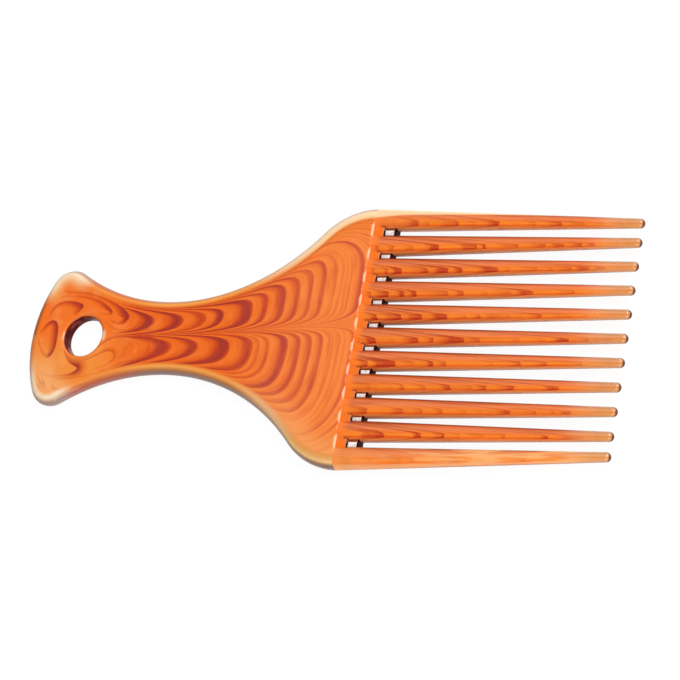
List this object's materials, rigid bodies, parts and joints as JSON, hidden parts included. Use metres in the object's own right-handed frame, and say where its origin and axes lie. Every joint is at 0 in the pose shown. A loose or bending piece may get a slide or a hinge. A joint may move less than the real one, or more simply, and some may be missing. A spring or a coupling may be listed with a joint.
{
  "type": "afro pick",
  "caption": "Afro pick moulded in one piece of glossy marbled amber plastic, with long round tapered teeth, a fan-shaped palm, a waisted grip and a flared butt with a hang hole.",
  "frame": {"origin": "on the flat back face, under the middle of the comb's overall length and width", "axes": "+X from the butt to the tooth tips, +Y across the teeth towards tooth_01, +Z out of the front face"},
  "size_m": [0.1688, 0.0698, 0.0059],
  "materials": {
    "marbled_plastic": "polished, translucent amber with darker tortoiseshell marbling"
  },
  "bodies": {
    "root": {"butt_end": "marbled_plastic", "grip": "marbled_plastic", "palm_plate": "marbled_plastic", "root_webs": "marbled_plastic", "tooth_01": "marbled_plastic", "tooth_02": "marbled_plastic", "tooth_03": "marbled_plastic", "tooth_04": "marbled_plastic", "tooth_05": "marbled_plastic", "tooth_06": "marbled_plastic", "tooth_07": "marbled_plastic", "tooth_08": "marbled_plastic", "tooth_09": "marbled_plastic", "tooth_10": "marbled_plastic", "tooth_11": "marbled_plastic"}
  },
  "joints": []
}
